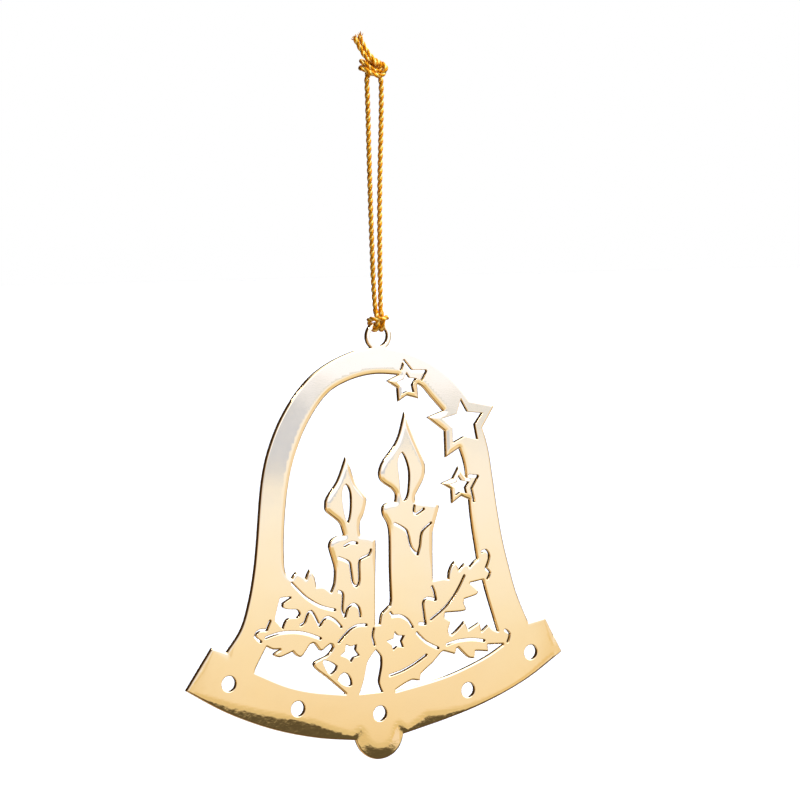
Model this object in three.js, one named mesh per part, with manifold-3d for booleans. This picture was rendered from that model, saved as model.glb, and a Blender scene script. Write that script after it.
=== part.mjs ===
// Christmas bell ornament: a cut brass sheet in the shape of a bell, hung on a doubled cord.
// Millimetres, +Z up. The sheet lies in the XZ plane and its front faces -Y.
// The origin is the middle of the top knot, which is what holds the ornament up.
import * as THREE from "three";
import { mergeVertices } from "three/addons/utils/BufferGeometryUtils.js";
import Module from "manifold-3d";

// Driving dimensions
const SHEET_THICKNESS = 1.0;
const SLOT_WIDTH = 0.5;
const RIM_HOLE_RADIUS = 1.6;
const EYE_RADIUS = 2.0;
const EYE_BAR = 0.95; // width of the eye's ring
const EYE_SIDE = -0.3; // the eye stands this far to the side of the bell's middle line
const NECK_DEPTH = 2.3; // the eye's ring runs into the arch this far below its centre
const CORD_DIAMETER = 1.0;
const CORD_SIDES = 8;
const KNOT_TO_EYE = { x: 1.0, z: -54.0 }; // the eye's centre seen from the knot
const KNOT_RADII = { x: 2.8, y: 2.0, z: 2.0 };
const CUT_PAST_FACE = 1.0; // how far a cutter runs past each face of the sheet

const EYE_OUTER = EYE_RADIUS + EYE_BAR;
const EYE_BAR_CENTRE = EYE_RADIUS + EYE_BAR / 2;

const BRASS = { color: 0xe6c184, roughness: 0.16, metalness: 1.0 };
const GOLD_CORD = { color: 0xd9951c, roughness: 0.38, metalness: 0.7 };

const wasm = await Module();
wasm.setup();

// ---- Outlines, drawn in the sheet's own plane: x to the right, y up, zero at the eye's height

const STRETCH = 1.4; // longest step along a curved run

const vectors = (points) => points.map(([x, y]) => new THREE.Vector2(x, y));

// A run of straight edges.
const straight = (...points) => vectors(points);

// A smooth curve through the points, with at least two steps from each point to the next.
function smooth(...points) {
  const through = vectors(points);
  const curve = new THREE.SplineCurve(through);
  const spans = through.length - 1;
  const run = [through[0]];
  for (let span = 0; span < spans; span++) {
    const length = through[span].distanceTo(through[span + 1]);
    const steps = THREE.MathUtils.clamp(Math.round(length / STRETCH), 2, 5);
    for (let step = 1; step <= steps; step++) {
      run.push(curve.getPoint((span + step / steps) / spans));
    }
  }
  return run;
}

// A closed smooth curve through the points.
function loop(...points) {
  const [first, second] = points;
  const last = points[points.length - 1];
  const round = smooth(last, ...points, first, second);
  const isFirst = (p) => p.distanceTo(new THREE.Vector2(...first)) < 1e-6;
  const start = round.findIndex(isFirst);
  const end = round.findLastIndex(isFirst);
  return round.slice(start, end);
}

function circle(x, y, radius, sides) {
  return new THREE.EllipseCurve(x, y, radius, radius).getPoints(sides).slice(0, sides);
}

// Runs joined end to end into one closed outline, with repeated points dropped.
function outline(...runs) {
  const joined = runs.flat();
  return joined.filter((p, i) => p.distanceTo(joined.at(i - 1)) > 0.02);
}

// The outline of a slot: a centre line widened to the slot's width, with round ends.
function slotOutline(points) {
  const line = points.length > 2 ? smooth(...points) : straight(...points);
  const half = SLOT_WIDTH / 2;
  const along = line.map((p, i) => {
    const before = line[Math.max(i - 1, 0)];
    const after = line[Math.min(i + 1, line.length - 1)];
    return after.clone().sub(before).normalize();
  });
  const side = (sign) =>
    line.map((p, i) => new THREE.Vector2(-along[i].y, along[i].x).multiplyScalar(sign * half).add(p));
  const cap = (centre, direction) =>
    [-0.3, 0, 0.3].map((turn) =>
      direction.clone().rotateAround(new THREE.Vector2(), turn * Math.PI).multiplyScalar(half).add(centre),
    );
  const endCap = cap(line.at(-1), along.at(-1));
  const startCap = cap(line[0], along[0].clone().negate());
  return outline(side(-1), endCap, side(1).reverse(), startCap);
}

// ---- The bell sheet

// The outer edge: round the eye, down the left side, along the rim and clapper, and up the right.
function bellEdge() {
  const neckAngle = Math.asin(NECK_DEPTH / EYE_OUTER);
  const neckSide = EYE_OUTER * Math.cos(neckAngle);
  const eye = new THREE.EllipseCurve(
    EYE_SIDE, 0, EYE_OUTER, EYE_OUTER, -neckAngle, Math.PI + neckAngle,
  );
  return outline(
    eye.getPoints(26),
    smooth(
      [EYE_SIDE - neckSide, -NECK_DEPTH], [-6, -2.9], [-11, -4.7], [-15.3, -7.2], [-18.5, -10.2],
      [-20.8, -13.1], [-22.8, -16.3], [-24.3, -19.4], [-25.8, -23.5], [-26.8, -28], [-27.4, -33],
      [-28, -40], [-28.7, -46], [-29.9, -52], [-31.7, -57.3], [-34.9, -61.6],
    ),
    straight([-34.9, -61.6], [-38.1, -60.4], [-43.8, -68.5]),
    smooth([-43.8, -68.5], [-35, -73.7], [-25, -78], [-15, -80.8], [-6, -82.2]),
    smooth(
      [-6, -82.2], [-4.9, -84.4], [-2.6, -86.2], [0, -86.7], [2.6, -86], [4.4, -84.3], [5.2, -82],
    ),
    smooth([5.2, -82], [15, -80], [25, -77.3], [35, -73.3], [43.6, -68.2]),
    straight([43.6, -68.2], [39.4, -60.6], [35.3, -61.3]),
    smooth(
      [35.3, -61.3], [32.4, -55], [30.5, -49], [29, -43.5], [27.7, -37], [26.7, -31], [25.7, -25],
      [24.9, -22], [24.1, -19.7],
    ),
    straight([24.1, -19.7], [27, -15.2], [20.9, -13.9]),
    smooth(
      [20.9, -13.9], [18.6, -11.2], [15.8, -8.5], [12.5, -6.2], [9, -4.5], [5.5, -3.2],
      [EYE_SIDE + neckSide, -NECK_DEPTH],
    ),
  );
}

// The large window round the two candles and their flames, with the stars reaching into it.
function candleWindow() {
  return outline(
    smooth(
      [-20.7, -47.9], [-21.5, -47], [-21.9, -45.6], [-22, -43], [-22, -40], [-21.7, -35],
      [-21.1, -30], [-20, -25], [-17.9, -19.5], [-15.2, -14.9], [-12.4, -11.6], [-9.5, -9.7],
      [-5, -8.2], [-0.5, -7.7], [4.2, -8.1],
    ),
    straight(
      [4.2, -8.1], [1.6, -9.2], [4, -10.7], [4.2, -13.5], [6.2, -12.35], [8.95, -13.1], [8.7, -10.1],
    ),
    smooth([8.7, -10.1], [10, -10.8], [12, -13], [14.7, -15.8]),
    straight([14.7, -15.8], [11, -17], [15.1, -20], [15.3, -25.5], [18.6, -23.7]),
    smooth([18.6, -23.7], [19.4, -25.8], [20, -28], [20.2, -29.9]),
    straight(
      [20.2, -29.9], [18.3, -27.5], [16.9, -29.9], [14.2, -30.8], [16.6, -32.1], [16.8, -35.1],
      [19, -33.7], [20.9, -34.5],
    ),
    smooth([20.9, -34.5], [21.2, -37.5], [21.8, -41.5], [22.4, -44.8], [22.8, -47]),
    smooth([22.8, -47], [21.9, -47.6], [20.9, -48.6]),
    smooth([20.9, -48.6], [19.8, -47.7], [18.4, -49.1]),
    smooth([18.4, -49.1], [17.4, -47.1], [16.1, -49], [15.9, -50.7]),
    smooth([15.9, -50.7], [14.5, -50.45], [12.2, -50.7]),
    smooth(
      [12.2, -50.7], [12.2, -42], [12.4, -40], [13.5, -36.5], [13.7, -35.4], [13.2, -34.7],
      [12, -34.5], [8.2, -33.9],
    ),
    smooth(
      [8.2, -33.9], [8.2, -32.8], [10, -29.8], [10.5, -27.7], [10.1, -25.7], [7.7, -20.6],
      [5.6, -15.7],
    ),
    smooth(
      [5.6, -15.7], [4.3, -20.3], [2.9, -22.8], [1.1, -24.8], [0.1, -26.3], [-0.35, -28],
      [0.1, -29.4], [1.2, -30.3], [2.6, -31.2], [3.5, -32.4], [3.4, -33.9],
    ),
    smooth(
      [3.4, -33.9], [1.9, -34], [0.8, -34.4], [0.35, -35.3], [0.6, -36.6], [1.4, -37.9],
      [1.9, -39.5], [2.05, -42], [2.1, -48], [2.3, -54.3], [1.7, -55.3], [0.5, -56.3], [0, -57],
      [-0.3, -58.8],
    ),
    smooth(
      [-1.35, -58.8], [-1.3, -50], [-1.1, -42.3], [-1.5, -41.1], [-2.8, -40.4], [-4.6, -40.1],
    ),
    smooth(
      [-4.6, -40.1], [-4.8, -38.8], [-4.6, -37.3], [-3.9, -36], [-3.25, -33.5], [-3.6, -32.1],
      [-5.8, -29.3], [-7.1, -25.8], [-8.05, -24.2],
    ),
    smooth(
      [-8.05, -24.2], [-8.5, -25.5], [-10, -29], [-12.3, -32.1], [-12.7, -33.6], [-12.4, -35],
      [-10, -36.9], [-9.1, -38], [-8.5, -40],
    ),
    smooth(
      [-8.5, -40], [-10.2, -40.2], [-11.4, -40.8], [-11.9, -41.9], [-11.7, -43], [-10.7, -46.2],
      [-10.6, -48], [-10.8, -49.8], [-11.5, -51.4],
    ),
    smooth([-11.5, -51.4], [-13.2, -50.1], [-14.8, -50]),
    smooth([-14.8, -50], [-15.2, -48], [-16.3, -46.4], [-17.2, -48.3]),
    smooth([-17.2, -48.3], [-17.9, -47.5], [-19.3, -46.7], [-20.3, -47.9]),
  );
}

// The small window between the left leg and the curled tips of the two left leaves.
function leftLeafWindow() {
  return outline(
    smooth(
      [-20.6, -51.6], [-22.8, -51.6], [-23.3, -52.3], [-24.2, -55.6], [-23.9, -56.4],
      [-22.4, -58],
    ),
    smooth([-22.4, -58], [-22, -56.9], [-21.4, -56.1], [-20.6, -55.9], [-19.2, -56]),
    smooth(
      [-19.2, -56], [-18.5, -55.2], [-19.2, -54.3], [-21, -54.1], [-22.2, -53.7], [-22.3, -52.8],
      [-20.6, -51.9],
    ),
  );
}

// The low window on the left: leaf above, small bell at its right end, rim below.
function leftRimWindow() {
  return outline(
    smooth([-26.1, -61.2], [-24.7, -61.9], [-23.1, -62]),
    smooth([-23.1, -62.1], [-24.6, -62.9], [-23.4, -63.6], [-22.2, -63.4], [-20.2, -62.7]),
    smooth(
      [-20.2, -62.7], [-19.6, -63.4], [-18.6, -64], [-17.7, -63.4], [-16.3, -61.6], [-15.2, -61.6],
      [-14.1, -63], [-13.3, -62.9], [-11.8, -61.95], [-11.1, -62.6], [-12.6, -64.2],
      [-15.3, -65.2], [-15.2, -66.5], [-12, -69.1], [-8.3, -72.3],
    ),
    smooth([-8.3, -72.4], [-16, -71.1], [-22, -69.3], [-28.6, -66.2]),
    smooth([-28.6, -66.2], [-28.6, -65.5], [-26.1, -61.2]),
  );
}

// The low window on the right: right bell and toothed leaf above, rim below.
function rightRimWindow() {
  return outline(
    smooth(
      [3.3, -72.7], [5, -71.8], [7.2, -71], [9, -71.3], [9.3, -69.9], [12, -67.9], [14, -66],
      [14.7, -65.7],
    ),
    straight([14.7, -65.7], [17.2, -66.5], [17.5, -66.4], [17.75, -65.4], [18.2, -65.2]),
    smooth([18.2, -65.2], [19.6, -66.6], [20.8, -67.6], [22.1, -67.8]),
    straight([22.1, -67.8], [22.3, -66.3]),
    smooth([22.3, -66.3], [23.4, -66.4], [25.5, -66.7]),
    straight([25.5, -66.7], [25.3, -65.2], [29, -65.4]),
    smooth([29, -65.6], [24, -68.1], [15, -71], [3.3, -73]),
  );
}

// The window between the two right leaves and the right leg.
function rightLeafWindow() {
  return outline(
    straight([24.2, -51.5], [21.1, -51.9]),
    smooth([21.1, -52], [22.9, -53.6], [22.6, -54.5], [19.7, -55.2]),
    smooth([19.7, -55.2], [19.6, -56], [20.1, -57.2], [19.4, -57.7], [15.1, -57.7]),
    smooth(
      [15.1, -57.7], [15, -58.6], [16.3, -59.5], [15.9, -60.9], [15.9, -61.8], [16.6, -62.4],
      [18.3, -61.1], [19.7, -59.8],
    ),
    straight([19.7, -59.8], [20.6, -61.7], [23.4, -60.3], [23.8, -62.3], [25.5, -61]),
    smooth([25.5, -61], [26.3, -61.9], [27.8, -62.6]),
    smooth([27.8, -62.6], [25.3, -55.2], [24.2, -51.5]),
  );
}

// The tall arched gap between the two small bells.
function bellGap() {
  return outline(
    smooth([-5.2, -72.8], [-4.1, -69.8], [-3.2, -66.2], [-1.3, -63.9]),
    smooth([-1.3, -63.9], [0, -65.4], [0, -68], [-0.5, -70.7], [0.3, -72.8]),
  );
}

// The two panes cut near the left bell's mouth.
const leftBellPanes = () => [
  loop([-13.5, -65.5], [-12.8, -65.15], [-10.2, -66.5], [-11.3, -67.95], [-12.2, -67.9]),
  loop([-10.1, -69.4], [-8.8, -68], [-7.3, -68.9], [-6.9, -70.7], [-8.2, -70.75]),
];

// The slit that stands for the wick in each flame.
const flameSlits = () => [
  loop([-8, -29.6], [-8.9, -31.5], [-8.4, -35.6], [-7.5, -37.6], [-6.8, -35], [-6.9, -31.3]),
  loop(
    [5.1, -23.8], [4, -25.8], [4.3, -28.8], [4.7, -32.8], [5.5, -33.9], [6.5, -32.4], [6.7, -27.5],
  ),
];

// The hollows of the three large stars, then the two small stars cut in the bells.
const starCuts = () => [
  straight(
    [6.1, -7.6], [6.9, -8.75], [8.4, -8.95], [7.5, -10.2], [7.9, -11.75], [6.5, -11.4], [5, -12],
    [4.95, -10.5], [3.9, -9.45], [5.4, -9],
  ),
  straight(
    [18.9, -13.5], [20.6, -16.3], [24.1, -16.7], [22.3, -19], [22.95, -22.1], [19.9, -21.3],
    [17, -22.6], [16.9, -19.4], [14.5, -17.4], [17.9, -16.6],
  ),
  straight(
    [18.3, -29.3], [19.2, -30.5], [20.8, -30.85], [20, -32], [20.3, -33.2], [18.9, -32.8],
    [17.6, -33.5], [17.5, -31.9], [16.3, -31.1], [17.9, -30.7],
  ),
  straight(
    [-8.2, -62.3], [-7.1, -62.8], [-5.75, -62.5], [-5.95, -63.6], [-5.1, -64.8], [-6.4, -65.1],
    [-7.1, -66], [-7.9, -65.1], [-9.4, -64.4], [-8.4, -63.7],
  ),
  straight(
    [3.1, -60.6], [4, -61.5], [5.4, -61.6], [4.7, -62.7], [5.15, -64], [3.8, -63.7],
    [2.7, -64.4], [2.3, -63.2], [1.3, -62.4], [2.8, -62],
  ),
];

const rimHoles = () =>
  [[-34.5, -67.9], [-19.2, -74.4], [-0.4, -77.2], [20.5, -74.3], [35.8, -67.7]].map(([x, y]) =>
    circle(x, y, RIM_HOLE_RADIUS, 24),
  );

const eyeHole = () => circle(EYE_SIDE, 0, EYE_RADIUS, 28);

// Centre lines of the slots, grouped by what they draw.
const SLOT_LINES = {
  topStar: [
    [[5.2, -5.9], [4.8, -6.9]],
    [[5.5, -5.2], [7.4, -7.4]],
    [[7.4, -7.4], [10.6, -7.5]],
    [[10.6, -7.5], [9.65, -9.2]],
  ],
  legStar: [
    [[20.9, -29.55], [22.9, -29.75]],
    [[22.9, -29.75], [21.35, -32.2]],
    [[21.35, -32.2], [22, -34.9]],
  ],
  shortCandle: [
    [[-8.4, -42.2], [-6.9, -41.6], [-5.6, -41.8]],
    [
      [-9.8, -44.5], [-7.7, -45.4], [-7.1, -46.4], [-6.6, -49.6], [-5.8, -50.6], [-5.1, -49.6],
      [-5.1, -46], [-4.6, -45], [-2.9, -44.4], [-2.4, -43.4],
    ],
  ],
  tallCandle: [
    [[7.8, -35], [7.7, -36.2], [8.3, -36.75], [10, -35.8]],
    [[3.2, -38.4], [5.9, -40], [6.7, -42.5], [7.3, -43.9], [8.5, -45.1]],
    [[8.5, -45.1], [9.1, -43.2], [9.3, -41.4], [9.9, -40.1], [11.7, -38.8]],
  ],
  leftLeaves: [
    [[-9.8, -51.35], [-9, -51.7], [-8.85, -52.8], [-9, -55.2], [-8.45, -56.6]],
    [[-8.4, -56.6], [-7.7, -54.9], [-6.4, -54.2], [-5.2, -55.1], [-4.85, -56.8]],
    [[-20.4, -48.9], [-17.2, -52], [-13.8, -54.1], [-10.7, -55.05]],
    [[-18.5, -57.5], [-17.6, -57], [-16.9, -55.4], [-16.1, -54.9], [-15.2, -56.1], [-14.3, -57.9]],
    [[-14.2, -58], [-13.2, -56.8], [-12.2, -56.4], [-10.5, -57.3], [-9.3, -58.6]],
    [[-26.3, -59.4], [-23.5, -58.75], [-20, -58.75], [-17, -59.4], [-14, -60.6]],
  ],
  leftBerry: [
    [[-25.3, -56.1], [-26.1, -57.8]],
    [[-26.2, -57.85], [-27.7, -57.85], [-28.7, -58.9], [-27.4, -60.1]],
  ],
  rightLeaves: [
    [[11.6, -58.8], [15, -56.5], [17.7, -53.5], [19.6, -50.3]],
    [[11.95, -52], [12.5, -53.3], [12.75, -54.75]],
    [[12.7, -54.8], [10.8, -54.25], [9.8, -55.1], [9.95, -57], [10.3, -59.5]],
    [[10.3, -59.6], [8.9, -59.4]],
    [[15.4, -64.35], [18, -63.8], [21.5, -63.75], [24.4, -64.3]],
    [[8.3, -61.3], [10.5, -63.4], [13.3, -64.9]],
  ],
  rightBerries: [
    [[23.9, -45.6], [24.9, -45.4], [25.6, -46.8], [24.8, -49.1]],
    [[24.8, -49.2], [25.8, -50.1], [25.2, -51.3]],
    [[29.5, -62.5], [30.6, -63.4], [30.1, -65]],
  ],
  smallBells: [
    [[-9.9, -61.7], [-7.4, -59.4], [-5.4, -58.6], [-3.5, -58.7]],
    [[-1.8, -59.6], [-2.05, -61.2], [-1.6, -62.9]],
    [[2.1, -56.6], [2.6, -57.3]],
    [[2.5, -57.4], [4.4, -57.45], [6.2, -58.5], [7.25, -60]],
    [[1.9, -69.55], [5, -68.8], [8, -67.5], [10.5, -66.1]],
  ],
};

const slots = () => Object.values(SLOT_LINES).flat().map(slotOutline);

// A closed outline pushed through to a solid in the XZ plane, centred on y = 0.
function sheetSolid(points, thickness) {
  const geometry = new THREE.ExtrudeGeometry(new THREE.Shape(points), {
    depth: thickness,
    bevelEnabled: false,
  });
  geometry.translate(0, 0, -thickness / 2).rotateX(Math.PI / 2);
  geometry.deleteAttribute("normal");
  geometry.deleteAttribute("uv");
  const merged = mergeVertices(geometry, 1e-4);
  return new wasm.Manifold(
    new wasm.Mesh({
      numProp: 3,
      vertProperties: merged.attributes.position.array,
      triVerts: new Uint32Array(merged.index.array),
    }),
  );
}

function geometryOf(solid) {
  const mesh = solid.getMesh();
  const geometry = new THREE.BufferGeometry();
  geometry.setAttribute("position", new THREE.BufferAttribute(mesh.vertProperties, 3));
  geometry.setIndex(new THREE.BufferAttribute(mesh.triVerts, 1));
  const faceted = geometry.toNonIndexed();
  faceted.computeVertexNormals();
  return faceted;
}

function bellGeometry() {
  const cuts = [
    candleWindow(),
    leftLeafWindow(),
    leftRimWindow(),
    rightRimWindow(),
    rightLeafWindow(),
    bellGap(),
    eyeHole(),
    ...leftBellPanes(),
    ...flameSlits(),
    ...starCuts(),
    ...rimHoles(),
    ...slots(),
  ];
  const cutterDepth = SHEET_THICKNESS + 2 * CUT_PAST_FACE;
  const sheet = sheetSolid(bellEdge(), SHEET_THICKNESS);
  return geometryOf(cuts.reduce((left, cut) => left.subtract(sheetSolid(cut, cutterDepth)), sheet));
}

// ---- The cord and its knots

const HITCH = {
  halfWidth: 1.5,
  topFlat: 0.9, // half-width of the part at full height
  outer: 1.85,
  shoulder: 1.55,
  throat: 0.8, // inner radius at the middle, just clear of the eye's square bar
  mouth: 1.4, // inner radius at the ends, where the eye's ring curves away
};

// The lark's head hitch, turned about the eye's top bar: a ring with a waisted bore.
function hitchGeometry() {
  const { halfWidth, topFlat, outer, shoulder, throat, mouth } = HITCH;
  const bore = (x) => throat + (mouth - throat) * (x / halfWidth) ** 2;
  const inside = [1, 0.6, 0, -0.6, -1].map((share) => [bore(share * halfWidth), share * halfWidth]);
  const outside = [[shoulder, -halfWidth], [outer, -topFlat], [outer, topFlat], [shoulder, halfWidth]];
  const profile = [...inside, ...outside, inside[0]];
  const geometry = new THREE.LatheGeometry(vectors(profile), 20);
  return geometry.rotateZ(-Math.PI / 2);
}

// A round cord along a route of [x, y, z] points.
function cordGeometry(route, steps) {
  const radius = CORD_DIAMETER / 2;
  const section = new THREE.Shape(circle(0, 0, radius, CORD_SIDES));
  const extrudePath = new THREE.CatmullRomCurve3(route.map((point) => new THREE.Vector3(...point)));
  return new THREE.ExtrudeGeometry(section, { steps, bevelEnabled: false, extrudePath });
}

// Routes of the two strands, from under the knot to the top of the hitch.
const STRAND_ROUTES = {
  cord_strand_left: [
    [-1.2, 0, -2.4], [-1.12, 0, -5], [-1.03, 0, -8], [-0.95, 0, -11], [-0.87, 0, -14.5],
    [-0.78, 0, -18], [-0.67, 0, -22], [-0.56, 0, -26], [-0.43, 0, -30], [-0.3, 0, -34],
    [-0.15, 0, -38], [0, 0, -42], [0.12, 0, -44], [0.24, 0, -46], [0.36, 0, -49.2],
  ],
  cord_strand_right: [
    [1.92, 0, -2.1], [2.07, 0, -4], [2.06, 0, -7.5], [2, 0, -11], [1.9, 0, -14.5],
    [1.78, 0, -18], [1.68, 0, -22], [1.6, 0, -26], [1.57, 0, -30], [1.56, 0, -34],
    [1.57, 0, -38], [1.6, 0, -42], [1.62, 0, -44], [1.64, 0, -46], [1.65, 0, -49.2],
  ],
};

// Routes of the two loose ends above the knot.
const TAIL_ROUTES = {
  cord_tail_left: [[-1.7, -0.1, 2.2], [-2.4, -0.2, 3.4], [-3.4, -0.3, 5], [-4.5, -0.3, 6.6]],
  cord_tail_right: [[-0.4, 0.2, 2.5], [-1.1, 0.3, 3.6], [-2, 0.3, 5.2], [-2.9, 0.3, 7]],
};

function piece(name, geometry, look) {
  const mesh = new THREE.Mesh(geometry, new THREE.MeshStandardMaterial(look));
  mesh.name = name;
  return mesh;
}

function topKnot() {
  const knot = piece("top_knot", new THREE.SphereGeometry(1, 16, 10), GOLD_CORD);
  knot.scale.set(KNOT_RADII.x, KNOT_RADII.y, KNOT_RADII.z);
  return knot;
}

const ornament = new THREE.Group();

const bell = new THREE.Group();
bell.position.set(KNOT_TO_EYE.x, 0, KNOT_TO_EYE.z);
const sheet = piece("bell_plate", bellGeometry(), BRASS);
sheet.position.x = -EYE_SIDE;
const hitch = piece("eye_hitch", hitchGeometry(), GOLD_CORD);
hitch.position.z = EYE_BAR_CENTRE;
bell.add(sheet, hitch);
ornament.add(bell, topKnot());

for (const [name, route] of Object.entries(STRAND_ROUTES)) {
  ornament.add(piece(name, cordGeometry(route, 20), GOLD_CORD));
}
for (const [name, route] of Object.entries(TAIL_ROUTES)) {
  ornament.add(piece(name, cordGeometry(route, 5), GOLD_CORD));
}

export default ornament;
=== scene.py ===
"""Looks for the christmas bell ornament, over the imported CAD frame.

Metres, +Z up. The brass sheet lies in the XZ plane and its front faces -Y. The origin is the top knot.
"""

import math

import bpy
import numpy as np
from mathutils import Matrix, Vector
from mathutils.geometry import delaunay_2d_cdt


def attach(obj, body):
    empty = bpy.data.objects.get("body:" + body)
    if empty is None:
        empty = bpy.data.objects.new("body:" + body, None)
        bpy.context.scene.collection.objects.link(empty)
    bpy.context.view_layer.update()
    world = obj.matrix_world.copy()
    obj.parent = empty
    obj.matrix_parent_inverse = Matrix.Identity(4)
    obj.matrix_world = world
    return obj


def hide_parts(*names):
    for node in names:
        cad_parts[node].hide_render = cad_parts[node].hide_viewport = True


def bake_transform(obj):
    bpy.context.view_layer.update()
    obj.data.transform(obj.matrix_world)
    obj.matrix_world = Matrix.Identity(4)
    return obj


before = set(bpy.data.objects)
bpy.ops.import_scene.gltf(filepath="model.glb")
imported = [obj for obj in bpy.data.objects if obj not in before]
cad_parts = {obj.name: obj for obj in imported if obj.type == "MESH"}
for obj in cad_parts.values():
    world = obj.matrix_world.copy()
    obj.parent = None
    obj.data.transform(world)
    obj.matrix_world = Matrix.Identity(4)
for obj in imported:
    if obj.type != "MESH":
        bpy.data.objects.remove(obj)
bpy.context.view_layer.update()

MM = 0.001
TINY = 1e-6
PLY_PITCH = 3.0 * MM  # length in which a ply goes once round the cord
PLIES = 2
EYE_BAR = Vector((1.0, 0.0, -51.525)) * MM  # middle of the eye's top bar, under the hitch


# ---- Camera


def make_camera():
    """The camera in front of the sheet, a little to its left and above."""
    target = Vector((6.1, 0.0, -67.2)) * MM
    azimuth, elevation, roll = math.radians(-29.23), math.radians(4.53), math.radians(-0.24)
    distance = 557.5 * MM
    away = Vector(
        (
            math.sin(azimuth) * math.cos(elevation),
            -math.cos(azimuth) * math.cos(elevation),
            math.sin(elevation),
        )
    )
    data = bpy.data.cameras.new("camera")
    data.sensor_width = 36
    data.lens = 123.3
    camera = bpy.data.objects.new("camera", data)
    turn = away.to_track_quat("Z", "Y").to_matrix().to_4x4()
    camera.matrix_world = Matrix.Translation(target + away * distance) @ turn @ Matrix.Rotation(roll, 4, "Z")
    bpy.context.scene.collection.objects.link(camera)
    bpy.context.scene.camera = camera


# ---- Curves and meshes


SPAN_SAMPLES = 40  # between two given points of a path, before it is divided evenly


def even_path(points, step):
    """A smooth curve through the points, as points a step apart."""
    points = np.array(points, float)
    padded = np.vstack([2 * points[0] - points[1], points, 2 * points[-1] - points[-2]])
    t = np.linspace(0, 1, SPAN_SAMPLES, endpoint=False)[:, None]
    spans = []
    for a, b, c, d in zip(padded, padded[1:], padded[2:], padded[3:]):
        spans.append(
            0.5 * (2 * b + (c - a) * t + (2 * a - 5 * b + 4 * c - d) * t**2 + (3 * b - a - 3 * c + d) * t**3)
        )
    fine = np.vstack([*spans, points[-1:]])
    run = np.concatenate([[0], np.cumsum(np.linalg.norm(np.diff(fine, axis=0), axis=1))])
    count = max(2, round(run[-1] / step) + 1)
    even = np.linspace(0, run[-1], count)
    return np.column_stack([np.interp(even, run, fine[:, axis]) for axis in range(3)])


def side_directions(path):
    """Two directions across the path at each point, carried along it without twisting."""
    along = np.gradient(path, axis=0)
    along /= np.linalg.norm(along, axis=1)[:, None]
    side = np.cross(along[0], (0.0, 1.0, 0.0))
    sides = []
    for direction in along:
        side = side - direction * side.dot(direction)
        side /= np.linalg.norm(side)
        sides.append(side)
    sides = np.array(sides)
    return sides, np.cross(along, sides)


def mesh_object(name, vertices, faces, material):
    mesh = bpy.data.meshes.new(name)
    mesh.from_pydata(vertices, [], faces)
    mesh.validate()
    mesh.shade_smooth()
    mesh.materials.append(material)
    piece = bpy.data.objects.new(name, mesh)
    bpy.context.scene.collection.objects.link(piece)
    return piece


# ---- Twisted cord


CORD_SIDES = 48
CORD_STEP = 0.12 * MM
PLY_OFFSET = 0.17 * MM  # from the cord's middle to a ply's middle
PLY_RADIUS = 0.36 * MM
CROWN_RADIUS = PLY_OFFSET + PLY_RADIUS
GROOVE_RADIUS = math.sqrt(PLY_RADIUS**2 - PLY_OFFSET**2)
PLY_RIDGES = 7  # bundles of foil seen round each ply
RIDGE_HEIGHT = 0.014 * MM
RIDGE_TURNS = 6  # of the ridges, for each turn of the plies
END_SIZE = 0.6  # of a cord's first and last ring, which are smaller than the rest
END_GROWTH = 0.2  # from each ring to the next one


def ply_section(turn):
    """The cord's radius and how proud it stands, at CORD_SIDES angles, with its plies turned by turn."""
    angles = np.arange(CORD_SIDES) * math.tau / CORD_SIDES
    share = math.tau / PLIES
    off_middle = (angles - turn + share / 2) % share - share / 2
    reach = np.sqrt(np.maximum(PLY_RADIUS**2 - (PLY_OFFSET * np.sin(off_middle)) ** 2, 0))
    radius = PLY_OFFSET * np.cos(off_middle) + reach
    round_ply = np.arctan2(radius * np.sin(off_middle), radius * np.cos(off_middle) - PLY_OFFSET)
    ridges = np.cos(PLY_RIDGES * round_ply - RIDGE_TURNS * turn)
    proud = (radius - GROOVE_RADIUS) / (CROWN_RADIUS - GROOVE_RADIUS)
    return angles, radius + RIDGE_HEIGHT * ridges, proud


def tube(path, start_turn=0.0, size=1.0):
    """Vertices, faces and proudness of a twisted cord along a path."""
    sides, ups = side_directions(path)
    vertices, proudness, faces = [], [], []
    for index, centre in enumerate(path):
        turn = start_turn + math.tau * index * CORD_STEP / PLY_PITCH
        angles, radius, proud = ply_section(turn)
        rings_from_end = min(index, len(path) - 1 - index)
        radius = radius * size * min(1.0, END_SIZE + END_GROWTH * rings_from_end)
        ring = np.outer(radius * np.cos(angles), sides[index]) + np.outer(radius * np.sin(angles), ups[index])
        vertices.append(centre + ring)
        proudness.append(proud)
    for ring in range(len(path) - 1):
        low, high = ring * CORD_SIDES, (ring + 1) * CORD_SIDES
        for corner in range(CORD_SIDES):
            after = (corner + 1) % CORD_SIDES
            faces.append((low + corner, low + after, high + after, high + corner))
    last = (len(path) - 1) * CORD_SIDES
    faces.append(tuple(reversed(range(CORD_SIDES))))
    faces.append(tuple(range(last, last + CORD_SIDES)))
    return np.vstack(vertices), faces, np.concatenate(proudness)


def cord_object(name, tubes, material):
    """One mesh made of several tubes, with how proud each point stands kept as an attribute."""
    vertices, faces, proudness, start = [], [], [], 0
    for tube_vertices, tube_faces, proud in tubes:
        vertices.append(tube_vertices)
        faces += [tuple(corner + start for corner in face) for face in tube_faces]
        proudness.append(proud)
        start += len(tube_vertices)
    piece = mesh_object(name, np.vstack(vertices), faces, material)
    attribute = piece.data.attributes.new("proud", "FLOAT", "POINT")
    attribute.data.foreach_set("value", np.concatenate(proudness).astype(np.float32))
    return piece


def in_metres(points):
    return [tuple(value * MM for value in point) for point in points]


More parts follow.
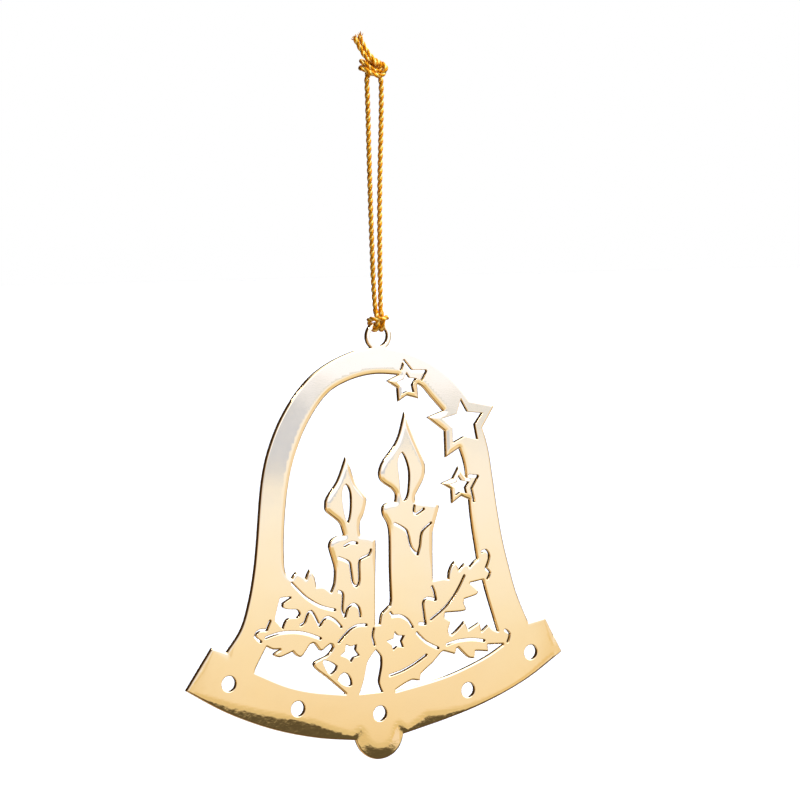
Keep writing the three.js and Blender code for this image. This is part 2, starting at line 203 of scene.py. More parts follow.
# Routes of the two strands, from inside the knot to the hitch.
STRAND_ROUTES = {
    "left": in_metres(
        [
            (-0.95, 0.1, -1.0), (-1.2, 0, -2.4), (-1.12, 0, -5), (-1.03, 0, -8), (-0.95, 0, -11),
            (-0.87, 0, -14.5), (-0.78, 0, -18), (-0.67, 0, -22), (-0.56, 0, -26), (-0.43, 0, -30),
            (-0.3, 0, -34), (-0.15, 0, -38), (0, 0, -42), (0.12, 0, -44), (0.24, 0, -46),
            (0.38, -0.15, -48.3), (0.42, -0.45, -49.6),
        ]
    ),
    "right": in_metres(
        [
            (1.65, 0.1, -1.0), (1.92, 0, -2.1), (2.07, 0, -4), (2.06, 0, -7.5), (2.0, 0, -11),
            (1.9, 0, -14.5), (1.78, 0, -18), (1.68, 0, -22), (1.6, 0, -26), (1.57, 0, -30),
            (1.56, 0, -34), (1.57, 0, -38), (1.6, 0, -42), (1.62, 0, -44), (1.64, 0, -46),
            (1.6, -0.15, -48.3), (1.56, -0.45, -49.6),
        ]
    ),
}

# Middle line of the doubled cord through the overhand knot, with half the way from one cord to the other.
KNOT_ROUTE = [
    # middle                 half-way between the cords
    ((0.36, 0.1, -2.0), (1.5, 0.0, 0.0)),
    ((0.6, 0.7, -1.1), (0.9, 0.3, 0.0)),
    ((1.15, 1.1, -0.1), (0.45, 0.1, -0.1)),
    ((1.35, 0.6, 0.95), (0.4, 0.3, -0.3)),
    ((1.6, -0.6, 0.85), (0.45, -0.25, -0.3)),
    ((1.9, -1.2, -0.1), (0.35, -0.35, -0.3)),
    ((1.2, -1.2, -1.2), (0.1, -0.35, -0.4)),
    ((-0.4, -1.2, -1.0), (0.0, -0.3, -0.5)),
    ((-1.8, -0.9, -0.1), (-0.2, -0.2, -0.55)),
    ((-2.45, 0.1, 0.4), (-0.1, 0.0, -0.65)),
    ((-1.5, 1.1, 0.5), (0.0, 0.2, -0.55)),
    ((0.0, 1.5, 0.4), (0.0, 0.2, -0.5)),
    ((0.7, 0.4, 0.9), (0.2, 0.2, -0.4)),
    ((0.0, -0.8, 1.0), (0.25, -0.2, -0.4)),
    ((-0.9, -0.7, 1.7), (0.45, -0.1, 0.1)),
    ((-1.65, -0.3, 2.8), (0.45, 0.1, 0.22)),
    ((-2.55, -0.1, 4.3), (0.46, 0.1, 0.25)),
    ((-3.4, 0.0, 6.0), (0.6, 0.15, 0.25)),
]

# Route of the lark's head round the eye's bar, from the left strand to the middle of its front bar.
HITCH_HALF_ROUTE = [
    (-0.62, 0.0, 3.2), (-0.6, -0.35, 2.4), (-0.56, -0.8, 1.5), (-0.56, -1.1, 0.6), (-0.6, -1.1, -0.3),
    (-0.68, -0.6, -1.05), (-0.85, 0.35, -1.1), (-1.05, 1.0, -0.45), (-1.3, 1.1, 0.4),
    (-1.65, 0.65, 0.85), (-1.8, -0.2, 1.1), (-1.45, -1.1, 1.15), (-0.8, -1.65, 1.1),
    (0.0, -1.8, 1.05),
]
HITCH_LEAN = 0.07  # the front bar rises this much to the right

FILAMENTS = 11  # at each cut end
FILAMENT_SIZE = 0.2  # beside a whole cord
FILAMENT_ROOT = 0.4 * MM  # how far inside the cord a filament starts
FILAMENT_OFFSET = 0.3 * MM  # from the cord's middle, for each unit of spread
FILAMENT_LENGTHS = (0.6, 1.2)  # millimetres
FILAMENT_SPREAD = 0.3
FILAMENT_BEND = 0.12


def make_strands(material):
    for name, route in STRAND_ROUTES.items():
        path = even_path(route, CORD_STEP)
        strand = cord_object(f"twisted_strand_{name}", [tube(path)], material)
        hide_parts(f"cord_strand_{name}")
        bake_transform(strand)


def frayed_end(tip, direction, rng):
    """Thin filaments that spread from a cut end."""
    tubes = []
    for _ in range(FILAMENTS):
        spread = rng.normal(0, FILAMENT_SPREAD, 3)
        way = Vector(direction + spread).normalized()
        bend = Vector(rng.normal(0, FILAMENT_BEND, 3))
        length = rng.uniform(*FILAMENT_LENGTHS) * MM
        root = Vector(tip) - Vector(direction) * FILAMENT_ROOT + Vector(spread) * FILAMENT_OFFSET
        route = [root, root + way * length / 2, root + (way + bend) * length]
        tubes.append(tube(even_path(route, CORD_STEP), rng.uniform(0, math.tau), FILAMENT_SIZE))
    return tubes


def make_knot(material):
    """The overhand knot tied in the doubled cord, with its two loose ends."""
    rng = np.random.default_rng(7)
    tubes = []
    for which in (-1, 1):
        route = [np.array(middle) + which * np.array(across) for middle, across in KNOT_ROUTE]
        path = even_path(in_metres(route), CORD_STEP)
        tubes.append(tube(path, start_turn=which))
        direction = (path[-1] - path[-6]) / np.linalg.norm(path[-1] - path[-6])
        tubes += frayed_end(path[-1], direction, rng)
    knot = cord_object("overhand_knot", tubes, material)
    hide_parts("top_knot", "cord_tail_left", "cord_tail_right")
    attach(knot, "hanger")
    return knot


def make_hitch(material):
    """The lark's head: both halves of one bight, joined in the bar across the front."""
    mirrored = [(-x, y, z) for x, y, z in reversed(HITCH_HALF_ROUTE[:-1])]
    whole = [(x, y, z + HITCH_LEAN * x * (z > 0)) for x, y, z in HITCH_HALF_ROUTE + mirrored]
    route = [EYE_BAR + Vector(point) for point in in_metres(whole)]
    hitch = cord_object("larks_head_hitch", [tube(even_path(route, CORD_STEP))], material)
    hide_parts("eye_hitch")
    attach(hitch, "hitch")
    return hitch


# ---- Brass sheet, in millimetres across the sheet until its mesh is made


SHEET_HALF = 0.5
EYE_HEIGHT = -54.0  # the eye's centre
EDGE_STEP = 0.33
SMALL_ROUNDING = 0.1  # edge radius of slots, stars and holes
LARGE_ROUNDING = 0.26  # edge radius of the outer edge and the large openings
BAND_WIDTH = 0.95  # of the soft slope along the large openings
BAND_SLOPE = math.tan(math.radians(4.3))
BAND_BLEND = 0.1
LOW_BAND_WIDTH = 0.2  # among the leaves and along the rim
BAND_RISE = (-52.0, -44.0)  # heights over the eye's centre between which the slope widens
RING_DEPTHS = (0.02, 0.05, SMALL_ROUNDING, 0.17, LARGE_ROUNDING, 0.45, 0.65, 0.85, 1.05)
GRID_STEP = 0.6
GRID_GAP = 0.15  # at least, from the innermost ring to the grid
LARGE_OPENING = 60.0  # square millimetres

CORNER_TURN = math.radians(33)  # an edge that turns more than this at a point has a corner there
CURVE_TURN = math.radians(9)  # at most, from one point of a curve to the next
FAN_TURN = math.radians(25)  # a ring fans out round a point that stands in and turns more than this
FAN_POINTS = 5
MITRE_LIMIT = 0.02
DEPTH_ERROR = 0.03  # share of its depth by which a ring's point may be off
LEAST_ERROR = 1e-4  # added to that
JOIN_ERROR = 0.05  # share of its depth by which the line half-way to the next point may be off
JOIN_LENGTH = 4 * EDGE_STEP
MERGE_DISTANCE = 1e-5  # points closer than this become one
LEVEL_ERROR = 0.01  # by which a point of the front face may lie behind it

# The front of the rim's lower edge was dressed down by hand: the band's width by distance from the clapper.
CLAPPER_SIDE = 1.0
DRESSED_WIDTHS = [
    (-42.0, 0.5), (-36.0, 1.6), (-30.0, 2.5), (-25.0, 3.0), (-20.0, 3.5), (-15.0, 3.4), (-12.0, 2.7),
    (-9.0, 2.0), (-6.4, 1.4), (-4.5, 2.9), (4.5, 2.9), (6.4, 1.2), (8.5, 1.9), (11.0, 2.8),
    (15.0, 1.8), (20.0, 1.1), (30.0, 0.8), (42.0, 1.0),
]
DRESSED_SLOPE = math.tan(math.radians(4.7))
DRESSED_BLEND = 0.35
DRESSED_RISE = (-58.0, -66.0)  # heights over the eye's centre between which the band widens
MARKS_BLEND = 0.4  # width over which the file marks fade in


def front_loops(node):
    """The edges of a sheet node's front face, as closed runs of (x, z) points with material on the left."""
    mesh = node.data
    points = np.array([vertex.co for vertex in mesh.vertices]) / MM
    keys = [tuple(np.round(point[[0, 2]], 3)) for point in points]
    on_front = points[:, 1] < LEVEL_ERROR - SHEET_HALF
    following = {}
    for polygon in mesh.polygons:
        corners = list(polygon.vertices)
        if all(on_front[corner] for corner in corners):
            for corner, after in zip(corners, corners[1:] + corners[:1]):
                following[(keys[corner], keys[after])] = True
    edges = [(a, b) for a, b in following if (b, a) not in following]
    next_point = dict(edges)
    loops = []
    while next_point:
        point = next(iter(next_point))
        loop = []
        while point in next_point:
            loop.append(point)
            point = next_point.pop(point)
        loops.append(np.array(loop))
    return loops


def turn_angles(loop):
    """How far the loop turns left at each point, in radians."""
    before = loop - np.roll(loop, 1, axis=0)
    after = np.roll(loop, -1, axis=0) - loop
    turn = np.arctan2(after[:, 1], after[:, 0]) - np.arctan2(before[:, 1], before[:, 0])
    return (turn + math.pi) % math.tau - math.pi


def curve_points(start, start_way, end, end_way, steps):
    """Points of a smooth curve from start to just before end, with the ways it leaves and arrives."""
    return [
        (2 * t**3 - 3 * t**2 + 1) * start
        + (t**3 - 2 * t**2 + t) * start_way
        + (3 * t**2 - 2 * t**3) * end
        + (t**3 - t**2) * end_way
        for t in (step / steps for step in range(steps))
    ]


def round_stretches(loop):
    """The loop with smooth curves between its corners, in steps of EDGE_STEP or less."""
    turns = np.abs(turn_angles(loop))
    corner = turns > CORNER_TURN
    count = len(loop)
    smooth = []
    for i in range(count):
        b, c = loop[i], loop[(i + 1) % count]
        a = 2 * b - c if corner[i] else loop[i - 1]
        d = 2 * c - b if corner[(i + 1) % count] else loop[(i + 2) % count]
        length = np.linalg.norm(c - b)
        way_from_b = (c - a) / (length + np.linalg.norm(b - a)) * length
        way_to_c = (d - b) / (length + np.linalg.norm(d - c)) * length
        bend = max(turns[i] * (not corner[i]), turns[(i + 1) % count] * (not corner[(i + 1) % count]))
        steps = max(1, math.ceil(length / EDGE_STEP), math.ceil(bend / CURVE_TURN))
        smooth += curve_points(b, way_from_b, c, way_to_c, steps)
    return np.array(smooth)


class Outline:
    """All edges of the sheet's front face, with searches that look only at the edges nearby."""

    REACH = 4.5  # distances are only measured this far
    CELL = 5.0

    def __init__(self, loops):
        self.loops = loops
        self.starts = np.vstack(loops)
        self.ends = np.vstack([np.roll(loop, -1, axis=0) for loop in loops])
        self.lows = np.minimum(self.starts, self.ends)
        self.highs = np.maximum(self.starts, self.ends)

    def distance(self, points):
        """Each point's distance to the nearest edge, or REACH if that is less."""
        nearest = np.full(len(points), self.REACH)
        cells, which = np.unique(np.floor(points / self.CELL), axis=0, return_inverse=True)
        for number, cell in enumerate(cells):
            low, high = cell * self.CELL - self.REACH, (cell + 1) * self.CELL + self.REACH
            near = (self.highs > low).all(axis=1) & (self.lows < high).all(axis=1)
            if near.any():
                chosen = which.ravel() == number
                nearest[chosen] = np.minimum(nearest[chosen], self.gaps(points[chosen], near))
        return nearest

    def gaps(self, points, near):
        starts = self.starts[near]
        ways = self.ends[near] - starts
        offset_x = points[:, :1] - starts[:, 0]
        offset_y = points[:, 1:] - starts[:, 1]
        squares = np.maximum((ways**2).sum(axis=1), 1e-12)
        share = np.clip((offset_x * ways[:, 0] + offset_y * ways[:, 1]) / squares, 0, 1)
        return np.hypot(offset_x - share * ways[:, 0], offset_y - share * ways[:, 1]).min(axis=1)

    def holds(self, points):
        """Whether each point is in the material, by counting the edges to its right, row by row."""
        inside = np.zeros(len(points), bool)
        rows = np.floor(points[:, 1])
        for row in np.unique(rows):
            near = (self.highs[:, 1] >= row) & (self.lows[:, 1] <= row + 1)
            chosen = rows == row
            starts, ends = self.starts[near], self.ends[near]
            x, y = points[chosen, :1], points[chosen, 1:]
            spans = (starts[:, 1] > y) != (ends[:, 1] > y)
            rise = np.where(ends[:, 1] == starts[:, 1], 1, ends[:, 1] - starts[:, 1])
            crossing = starts[:, 0] + (y - starts[:, 1]) * (ends[:, 0] - starts[:, 0]) / rise
            inside[chosen] = (spans & (crossing > x)).sum(axis=1) % 2 == 1
        return inside


def ring(loop, depth):
    """The loop moved into the material by depth, mitred at corners and fanned round points that stand in."""
    before = loop - np.roll(loop, 1, axis=0)
    after = np.roll(loop, -1, axis=0) - loop
    left_before = np.column_stack([-before[:, 1], before[:, 0]]) / np.linalg.norm(before, axis=1)[:, None]
    left_after = np.column_stack([-after[:, 1], after[:, 0]]) / np.linalg.norm(after, axis=1)[:, None]
    moved = []
    for point, first, second, turn in zip(loop, left_before, left_after, turn_angles(loop)):
        if turn < -FAN_TURN:
            for share in np.linspace(0, 1, FAN_POINTS):
                way = (1 - share) * first + share * second
                moved.append(point + depth * way / max(np.linalg.norm(way), TINY))
        else:
            way = first + second
            moved.append(point + 2 * depth * way / max(way.dot(way), MITRE_LIMIT))
    return np.array(moved)


def ring_points(loop, depth, outline):
    """The points of a ring that lie at its true depth, and which of them join to the next one."""
    moved = ring(loop, depth)
    moved = moved[outline.holds(moved)]
    moved = moved[np.abs(outline.distance(moved) - depth) < DEPTH_ERROR * depth + LEAST_ERROR]
    joined = np.roll(moved, -1, axis=0)
    along_ring = np.abs(outline.distance((moved + joined) / 2) - depth) < JOIN_ERROR * depth
    near = np.linalg.norm(joined - moved, axis=1) < JOIN_LENGTH
    return moved, along_ring & near


def grid_points(outline):
    low, high = outline.lows.min(axis=0), outline.highs.max(axis=0)
    x, y = np.meshgrid(np.arange(low[0], high[0], GRID_STEP), np.arange(low[1], high[1], GRID_STEP))
    grid = np.column_stack([x.ravel(), y.ravel()])
    grid = grid[outline.holds(grid)]
    return grid[outline.distance(grid) > RING_DEPTHS[-1] + GRID_GAP]


def sheet_points(outline):
    """Points over the front face: its edges, rings inside them, and a grid. Also the lines between them."""
    points, lines, start = [], [], 0
    for loop in outline.loops:
        points.append(loop)
        lines += [(start + i, start + (i + 1) % len(loop)) for i in range(len(loop))]
        start += len(loop)
    for depth in RING_DEPTHS:
        for loop in outline.loops:
            moved, joins = ring_points(loop, depth, outline)
            lines += [(start + i, start + (i + 1) % len(moved)) for i in np.flatnonzero(joins)]
            points.append(moved)
            start += len(moved)
    points.append(grid_points(outline))
    return np.vstack(points), lines


def loop_area(loop):
    following = np.roll(loop, -1, axis=0)
    return abs((loop[:, 0] * following[:, 1] - loop[:, 1] * following[:, 0]).sum()) / 2


def ease(values, start, end):
    """0 before start, 1 after end, smooth between them."""
    share = np.clip((values - start) / (end - start), 0, 1)
    return share**2 * (3 - 2 * share)


def soft_slope(distance, width, blend):
    """How far a point lies along a slope that starts at width from the edge and blends in softly."""
    inside = width - distance
    start = np.clip(inside + blend, 0, 2 * blend) ** 2 / (4 * blend)
    return np.where(inside > blend, inside, start)


def rounded_edge(distance, radius):
    """How far the face drops towards an edge of this radius."""
    within = radius - np.clip(distance, 0, radius)
    return radius - np.sqrt(radius**2 - within**2)


def face_drop(points, outline, outer_edge):
    """How far both faces lie under their highest level: rounded edges and soft slopes along them."""
    windows = [loop for loop in outline.loops if loop_area(loop) > LARGE_OPENING]
    windows.remove(max(windows, key=loop_area))
    to_window = Outline(windows).distance(points)
    large = rounded_edge(np.minimum(to_window, outer_edge.distance(points)), LARGE_ROUNDING)
    small = rounded_edge(outline.distance(points), SMALL_ROUNDING)
    wide = ease(points[:, 1] - EYE_HEIGHT, *BAND_RISE)
    width = LOW_BAND_WIDTH + (BAND_WIDTH - LOW_BAND_WIDTH) * wide
    return np.maximum(large, small) + BAND_SLOPE * soft_slope(to_window, width, BAND_BLEND)


def dressed_run(points, outer_edge):
    """How far each point lies into the band along the rim's lower edge that was dressed down by hand."""
    sides, widths = zip(*DRESSED_WIDTHS)
    width = np.interp(points[:, 0] - CLAPPER_SIDE, sides, widths, left=0, right=0)
    width *= ease(points[:, 1] - EYE_HEIGHT, *DRESSED_RISE)
    run = soft_slope(outer_edge.distance(points), width - DRESSED_BLEND / 2, DRESSED_BLEND)
    return np.where(width > 0, run, 0)


def triangles(points, lines, outline):
    """The front face's final points and triangles, with none across an opening."""
    corners, _, faces, *_ = delaunay_2d_cdt([Vector(point) for point in points], lines, [], 0, MERGE_DISTANCE)
    corners = np.array([tuple(corner) for corner in corners])
    faces = np.array(faces)
    return corners, faces[outline.holds(corners[faces].mean(axis=1))]


def rim_of(faces):
    """The directed edges that only one triangle has."""
    edges = {(face[i], face[(i + 1) % 3]) for face in faces.tolist() for i in range(3)}
    return [(a, b) for a, b in edges if (b, a) not in edges]


def make_sheet(material):
    outline = Outline([round_stretches(loop) for loop in front_loops(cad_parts["bell_plate"])])
    outer_edge = Outline([max(outline.loops, key=loop_area)])
    corners, faces = triangles(*sheet_points(outline), outline)
    depth = SHEET_HALF - face_drop(corners, outline, outer_edge)
    run = dressed_run(corners, outer_edge)
    front = np.column_stack([corners[:, 0], DRESSED_SLOPE * run - depth, corners[:, 1]]) * MM
    back = np.column_stack([corners[:, 0], depth, corners[:, 1]]) * MM
    count = len(corners)
    shell = [tuple(face) for face in faces]
    shell += [tuple(count + corner for corner in reversed(face)) for face in shell]
    shell += [(b, a, a + count, b + count) for a, b in rim_of(faces)]
    sheet = mesh_object("cut_brass_sheet", np.vstack([front, back]), shell, material)
    dressed = sheet.data.attributes.new("dressed", "FLOAT", "POINT")
    on_front, on_back = ease(run, 0.0, MARKS_BLEND), np.zeros(count)
    dressed.data.foreach_set("value", np.concatenate([on_front, on_back]).astype(np.float32))
    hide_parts("bell_plate")
    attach(sheet, "bell")


# ---- Materials


def new_material(name):
    material = bpy.data.materials.new(name)
    material.use_nodes = True
    nodes = material.node_tree.nodes
    return material, nodes, material.node_tree.links, nodes["Principled BSDF"]


def noise(nodes, links, place, scale, detail=3.0):
    texture = nodes.new("ShaderNodeTexNoise")
    texture.inputs["Scale"].default_value = scale
    texture.inputs["Detail"].default_value = detail
    links.new(place, texture.inputs["Vector"])
    return texture.outputs["Fac"]


def spread(nodes, links, value, low, high):
    """The value taken from 0..1 to low..high."""
    node = nodes.new("ShaderNodeMapRange")
    node.inputs["To Min"].default_value = low
    node.inputs["To Max"].default_value = high
    links.new(value, node.inputs["Value"])
    return node.outputs["Result"]


def bump(nodes, links, height, distance, under=None):
    node = nodes.new("ShaderNodeBump")
    node.inputs["Strength"].default_value = 1.0
    node.inputs["Distance"].default_value = distance
    links.new(height, node.inputs["Height"])
    if under:
        links.new(under, node.inputs["Normal"])
    return node.outputs["Normal"]


# A Mix node's sockets for colours.
FIRST_COLOUR, SECOND_COLOUR, MIXED_COLOUR = 6, 7, 2


def colour_mix(nodes, links, factor, first, second):
    node = nodes.new("ShaderNodeMix")
    node.data_type = "RGBA"
    links.new(factor, node.inputs["Factor"])
    for value, socket in ((first, node.inputs[FIRST_COLOUR]), (second, node.inputs[SECOND_COLOUR])):
        if isinstance(value, tuple):
            socket.default_value = (*value, 1.0)
        else:
            links.new(value, socket)
    return node.outputs[MIXED_COLOUR]


def attribute_value(nodes, name):
    node = nodes.new("ShaderNodeAttribute")
    node.attribute_name = name
    return node.outputs["Fac"]


# Each kind of unevenness in the brass: how many to a metre, their detail, and their height.
WAVES, WAVE_DETAIL, WAVE_HEIGHT = 85.0, 1.0, 0.022 * MM
LINES, LINE_DETAIL, LINE_HEIGHT = 1500.0, 4.0, 0.0006 * MM
FILE_MARKS, FILE_MARK_DETAIL, FILE_MARK_HEIGHT = 800.0, 6.0, 0.024 * MM
SPOTS, SPOT_DETAIL = 700.0, 5.0
TINTS = 90.0
LINE_SQUEEZE = (1.0, 1.0, 4.0)  # along X, Y and Z, so the lines run across the sheet
BRASS_COLOURS = ((0.95, 0.735, 0.40), (0.91, 0.725, 0.44))
BRASS_ROUGHNESS = (0.02, 0.08)


def polished_brass():
    """A gold-coloured mirror with faint waves, fine lines, dulled spots, and file marks where dressed."""
    material, nodes, links, shader = new_material("polished_brass")
    place = nodes.new("ShaderNodeTexCoord").outputs["Object"]
    tint = noise(nodes, links, place, TINTS)
    colour = colour_mix(nodes, links, tint, *BRASS_COLOURS)
    links.new(colour, shader.inputs["Base Color"])
    shader.inputs["Metallic"].default_value = 1.0
    spots = noise(nodes, links, place, SPOTS, SPOT_DETAIL)
    links.new(spread(nodes, links, spots, *BRASS_ROUGHNESS), shader.inputs["Roughness"])
    waved = bump(nodes, links, noise(nodes, links, place, WAVES, WAVE_DETAIL), WAVE_HEIGHT)
    squeezed = nodes.new("ShaderNodeMapping")
    squeezed.inputs["Scale"].default_value = LINE_SQUEEZE
    links.new(place, squeezed.inputs["Vector"])
    fine_lines = noise(nodes, links, squeezed.outputs["Vector"], LINES, LINE_DETAIL)
    lined = bump(nodes, links, fine_lines, LINE_HEIGHT, waved)
    file_marks = nodes.new("ShaderNodeMath")
    file_marks.operation = "MULTIPLY"
    links.new(noise(nodes, links, place, FILE_MARKS, FILE_MARK_DETAIL), file_marks.inputs[0])
    links.new(attribute_value(nodes, "dressed"), file_marks.inputs[1])
    filed = bump(nodes, links, file_marks.outputs[0], FILE_MARK_HEIGHT, lined)
    links.new(filed, shader.inputs["Normal"])
    return material


FLECKS = 5200.0  # to a metre
FLECK_HEIGHT = 0.08 * MM
CREASES = 4200.0  # to a metre
CREASE_HEIGHT = 0.10 * MM
FOIL_COLOURS = ((0.45, 0.13, 0.001), (1.0, 0.45, 0.003))  # of the darkest and the brightest fleck
# Pale gold painted into the grooves between the plies: a painted highlight where light would catch the foil.
PAINTED_GROOVE_HIGHLIGHT = (1.0, 0.80, 0.24)
FOIL_SHARE = (-0.5, 1.9)  # in the grooves and on the crowns, kept to 0..1 where the flecked foil and the painted groove highlight mix
YARN_ROUGHNESS = (0.3, 0.6)


def metallic_yarn():
    """Twisted gold foil yarn: orange and brown flecks on the plies, a painted highlight of pale gold between
    them.
    """
    material, nodes, links, shader = new_material("metallic_gold_yarn")
    place = nodes.new("ShaderNodeTexCoord").outputs["Object"]
    flecks = nodes.new("ShaderNodeTexVoronoi")
    flecks.inputs["Scale"].default_value = FLECKS
    links.new(place, flecks.inputs["Vector"])
    fleck_value = nodes.new("ShaderNodeSeparateColor")
    links.new(flecks.outputs["Color"], fleck_value.inputs["Color"])
    foil = colour_mix(nodes, links, fleck_value.outputs["Red"], *FOIL_COLOURS)
    crown = spread(nodes, links, attribute_value(nodes, "proud"), *FOIL_SHARE)
    # The grooves get the painted highlight, and the crowns get the flecked foil.
    links.new(colour_mix(nodes, links, crown, PAINTED_GROOVE_HIGHLIGHT, foil), shader.inputs["Base Color"])
    shader.inputs["Metallic"].default_value = 0.88
    roughness = spread(nodes, links, fleck_value.outputs["Green"], *YARN_ROUGHNESS)
    links.new(roughness, shader.inputs["Roughness"])
    facets = bump(nodes, links, fleck_value.outputs["Blue"], FLECK_HEIGHT)
    creased = bump(nodes, links, noise(nodes, links, place, CREASES), CREASE_HEIGHT, facets)
    links.new(creased, shader.inputs["Normal"])
    return material


def matte_white():
    material, _, _, shader = new_material("studio_floor")
    shader.inputs["Base Color"].default_value = (0.9, 0.9, 0.9, 1)
    shader.inputs["Roughness"].default_value = 0.9
    return material


# ---- Studio


class WorldNodes:
    """Small helpers that build the sky's node tree."""

    def __init__(self, tree):
        self.nodes = tree.nodes
        self.links = tree.links

    def maths(self, operation, first, second=None):
        node = self.nodes.new("ShaderNodeMath")
        node.operation = operation
        for value, socket in ((first, node.inputs[0]), (second, node.inputs[1])):
            if isinstance(value, (int, float)):
                socket.default_value = value
            elif value is not None:
                self.links.new(value, socket)
        return node.outputs[0]

    def step(self, value, start, end):
        """0 before start and 1 after end, in degrees, smooth between them."""
        node = self.nodes.new("ShaderNodeMapRange")
        node.interpolation_type = "SMOOTHSTEP"
        self.links.new(value, node.inputs["Value"])
        node.inputs["From Min"].default_value = start
        node.inputs["From Max"].default_value = end
        return node.outputs["Result"]

    def window(self, value, low, high, soft):
        """1 between low and high, in degrees, with soft edges."""
        rising = self.step(value, low - soft, low + soft)
        falling = self.step(value, high + soft, high - soft)
        return self.maths("MULTIPLY", rising, falling)

    def patch(self, azimuth, sides, elevation, heights):
        """1 in a patch of the sky. Its sides and heights are each low, high and softness, in degrees."""
        return self.maths("MULTIPLY", self.window(azimuth, *sides), self.window(elevation, *heights))


# Light by height above the horizon, in degrees: a white room over a warm floor.
SKY = [
    (-30.0, (0.80, 0.74, 0.66)),
    (-16.0, (0.80, 0.68, 0.44)),
    (-12.6, (0.86, 0.74, 0.50)),
    (-11.6, (0.96, 0.83, 0.63)),
    (-10.9, (1.02, 0.93, 0.82)),
    (-9.3, (1.05, 1.02, 1.00)),
    (-8.4, (1.08, 1.11, 1.25)),
    (-7.0, (1.08, 1.17, 1.50)),
    (-5.6, (1.10, 1.20, 1.58)),
    (-4.6, (1.12, 1.28, 1.90)),
    (-3.7, (1.15, 1.38, 2.30)),
    (0.0, (1.60, 1.80, 2.60)),
    (10.0, (2.60, 2.70, 3.00)),
]


def sky_ramp(build, elevation):
    low, high = SKY[0][0], SKY[-1][0]
    share = build.maths("DIVIDE", build.maths("SUBTRACT", elevation, low), high - low)
    node = build.nodes.new("ShaderNodeValToRGB")
    build.links.new(share, node.inputs["Fac"])
    ramp = node.color_ramp
    for _ in SKY[2:]:
        ramp.elements.new(0.5)
    for element, (degrees, colour) in zip(ramp.elements, SKY):
        element.position = (degrees - low) / (high - low)
        element.color = (*colour, 1)
    return node.outputs["Color"]


# Below the horizon the room is warmer on the left.
WARM_SIDES = (-70.0, 16.0, 2.5)  # low, high and softness, in degrees
WARM_FADE = (1.0, -2.0)
WARM_TINT = (0.80, 0.56, 0.34)

# Patches of the studio that the metal mirrors, each laid over those before it. A patch's sides are azimuths
# and its heights are elevations, each as low, high and softness in degrees.
PATCHES = [
    # sides              heights               colour
    ((16.0, 27.6, 0.5), (-6.2, -4.25, 0.4), (0.70, 0.85, 1.42)),  # grey card
    ((27.6, 42.0, 0.5), (-5.25, -4.5, 0.3), (0.80, 0.95, 1.46)),  # its lower, paler end
    ((10.0, 24.9, 0.35), (-16.0, -9.0, 1.0), (0.84, 0.70, 0.45)),  # deeper gold for the rim's left end
    ((32.4, 50.0, 0.45), (-16.0, -8.5, 1.0), (0.90, 0.73, 0.44)),  # the same for its right end
    ((34.6, 50.0, 1.2), (-16.0, 0.0, 2.0), (1.0, 0.92, 0.90)),  # pale wall at the right
    ((50.0, 125.0, 5.0), (-11.0, 4.0, 2.0), (0.12, 0.08, 0.04)),  # brown wall past it
    ((0.0, 145.0, 5.0), (-70.0, -25.0, 2.0), (0.13, 0.08, 0.04)),  # shade under the table
    ((0.0, 145.0, 5.0), (-27.0, -17.5, 1.0), (0.12, 0.10, 0.062)),  # the table's edge
    ((-20.0, 11.0, 3.0), (-3.0, 60.0, 3.0), (0.62, 0.54, 0.52)),  # tan wall in front
]

# The dark parts of the studio, in degrees.
DARK = (0.045, 0.026, 0.010)
DARK_LEFT_SIDES = (-110.0, -20.0, 8.0)
DARK_LEFT_HEIGHTS = (-14.0, 68.0, 4.0)
DARK_FROM_LEFT = (-70.0, -90.0)  # azimuths between which it fades in, going round to behind
DARK_FROM_RIGHT = (152.5, 157.0)
DARK_BEHIND_HEIGHTS = (-38.0, 66.0, 4.0)


def room_colour(build, azimuth, elevation):
    """The room's light, tinted where it is warmer, with the patches laid over it."""
    warm_side = build.window(azimuth, *WARM_SIDES)
    warm_share = build.maths("MULTIPLY", warm_side, build.step(elevation, *WARM_FADE))
    tint = colour_mix(build.nodes, build.links, warm_share, (1.0, 1.0, 1.0), WARM_TINT)
    tinted = build.nodes.new("ShaderNodeMix")
    tinted.data_type = "RGBA"
    tinted.blend_type = "MULTIPLY"
    tinted.inputs["Factor"].default_value = 1.0
    build.links.new(sky_ramp(build, elevation), tinted.inputs[FIRST_COLOUR])
    build.links.new(tint, tinted.inputs[SECOND_COLOUR])
    colour = tinted.outputs[MIXED_COLOUR]
    for sides, heights, shade in PATCHES:
        patch = build.patch(azimuth, sides, elevation, heights)
        colour = colour_mix(build.nodes, build.links, patch, colour, shade)
    return colour


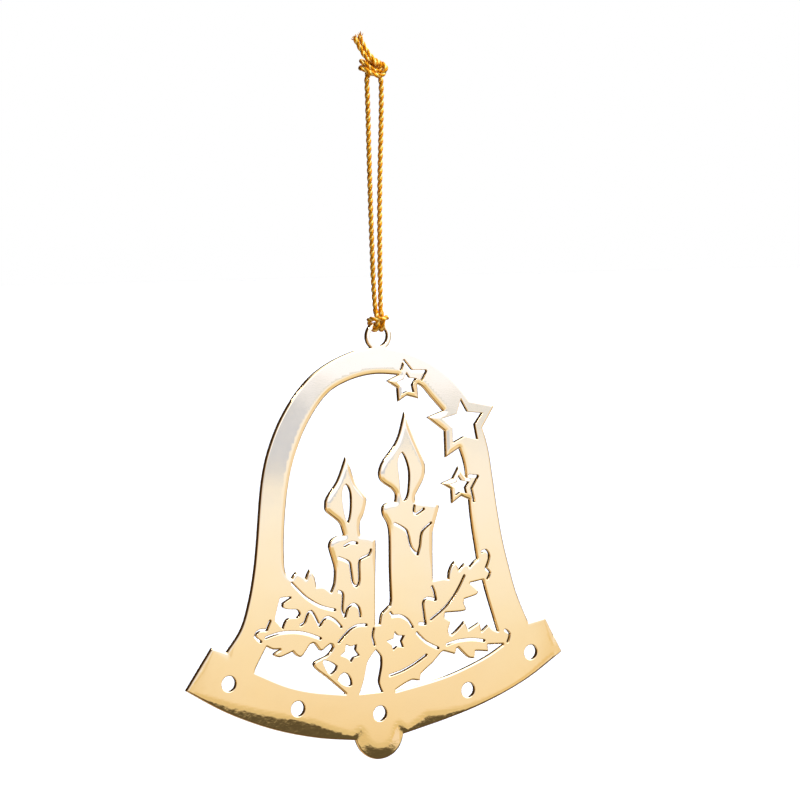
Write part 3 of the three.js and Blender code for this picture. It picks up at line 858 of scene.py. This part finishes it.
def dark_share(build, azimuth, elevation):
    """1 where the studio is dark, at the left and behind the ornament."""
    left = build.patch(azimuth, DARK_LEFT_SIDES, elevation, DARK_LEFT_HEIGHTS)
    from_left, from_right = build.step(azimuth, *DARK_FROM_LEFT), build.step(azimuth, *DARK_FROM_RIGHT)
    round_back = build.maths("MAXIMUM", from_left, from_right)
    behind = build.maths("MULTIPLY", round_back, build.window(elevation, *DARK_BEHIND_HEIGHTS))
    return build.maths("MAXIMUM", left, behind)


def make_world():
    """Soft studio light for reflections. The camera itself sees plain white."""
    world = bpy.data.worlds.new("studio")
    bpy.context.scene.world = world
    world.use_nodes = True
    build = WorldNodes(world.node_tree)
    nodes, links = build.nodes, build.links
    direction = nodes.new("ShaderNodeTexCoord").outputs["Generated"]
    parts = nodes.new("ShaderNodeSeparateXYZ")
    links.new(direction, parts.inputs["Vector"])
    x, y, z = (parts.outputs[axis] for axis in "XYZ")
    elevation = build.maths("DEGREES", build.maths("ARCSINE", z))
    azimuth = build.maths("DEGREES", build.maths("ARCTAN2", x, build.maths("MULTIPLY", y, -1.0)))
    lit = room_colour(build, azimuth, elevation)
    reflected = colour_mix(nodes, links, dark_share(build, azimuth, elevation), lit, DARK)
    is_camera = nodes.new("ShaderNodeLightPath").outputs["Is Camera Ray"]
    seen = colour_mix(nodes, links, is_camera, reflected, (1.0, 1.0, 1.0))
    background = nodes["Background"]
    links.new(seen, background.inputs["Color"])


def make_floor():
    """A wide pale floor under the hanging ornament. Polished metal doesn't mirror it."""
    half, height = 4.0, -0.2
    corners = [(-half, -half, height), (half, -half, height), (half, half, height), (-half, half, height)]
    floor = mesh_object("studio_floor", corners, [(0, 1, 2, 3)], matte_white())
    floor.visible_glossy = False


def make_light():
    """One soft lamp, high in front and to the left, for the glitter of the yarn."""
    data = bpy.data.lights.new("softbox", "AREA")
    data.energy = 1.2
    data.size = 0.12
    lamp = bpy.data.objects.new("softbox", data)
    place = Vector((-0.35, -0.45, 0.45))
    lamp.matrix_world = Matrix.Translation(place) @ place.to_track_quat("Z", "Y").to_matrix().to_4x4()
    bpy.context.scene.collection.objects.link(lamp)


make_camera()
yarn = metallic_yarn()
top_knot = make_knot(yarn)
eye_hitch = make_hitch(yarn)
make_strands(yarn)
make_sheet(polished_brass())
make_world()
make_floor()
make_light()
bpy.context.scene.view_settings.view_transform = "Standard"
